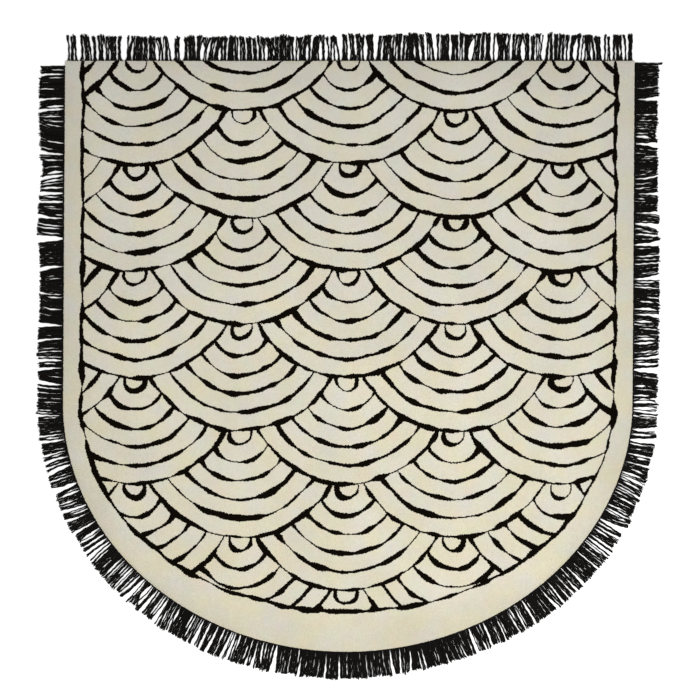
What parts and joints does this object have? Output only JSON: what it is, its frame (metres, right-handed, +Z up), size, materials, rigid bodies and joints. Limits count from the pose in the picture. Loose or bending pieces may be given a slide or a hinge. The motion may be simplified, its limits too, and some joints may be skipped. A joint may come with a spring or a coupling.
{
  "type": "rug",
  "caption": "Flat tufted rug with one straight end and one round end, black and cream pile and a black yarn fringe all the way round.",
  "frame": {"origin": "middle of the rug's box with its fringe, on the floor", "axes": "+Z up through the pile, +Y towards the straight end, the round end at -Y, the pile upwards"},
  "size_m": [2.1824, 2.2654, 0.012],
  "materials": {
    "wool_pile": "short cut wool pile, cream with black lines, matt",
    "fringe_yarn": "black twisted wool yarn, matt"
  },
  "bodies": {
    "root": {"rug_pile": "wool_pile", "fringe_top": "fringe_yarn", "fringe_left": "fringe_yarn", "fringe_right": "fringe_yarn", "fringe_round_1": "fringe_yarn", "fringe_round_2": "fringe_yarn", "fringe_round_3": "fringe_yarn", "fringe_round_4": "fringe_yarn", "fringe_round_5": "fringe_yarn", "fringe_round_6": "fringe_yarn"}
  },
  "joints": []
}
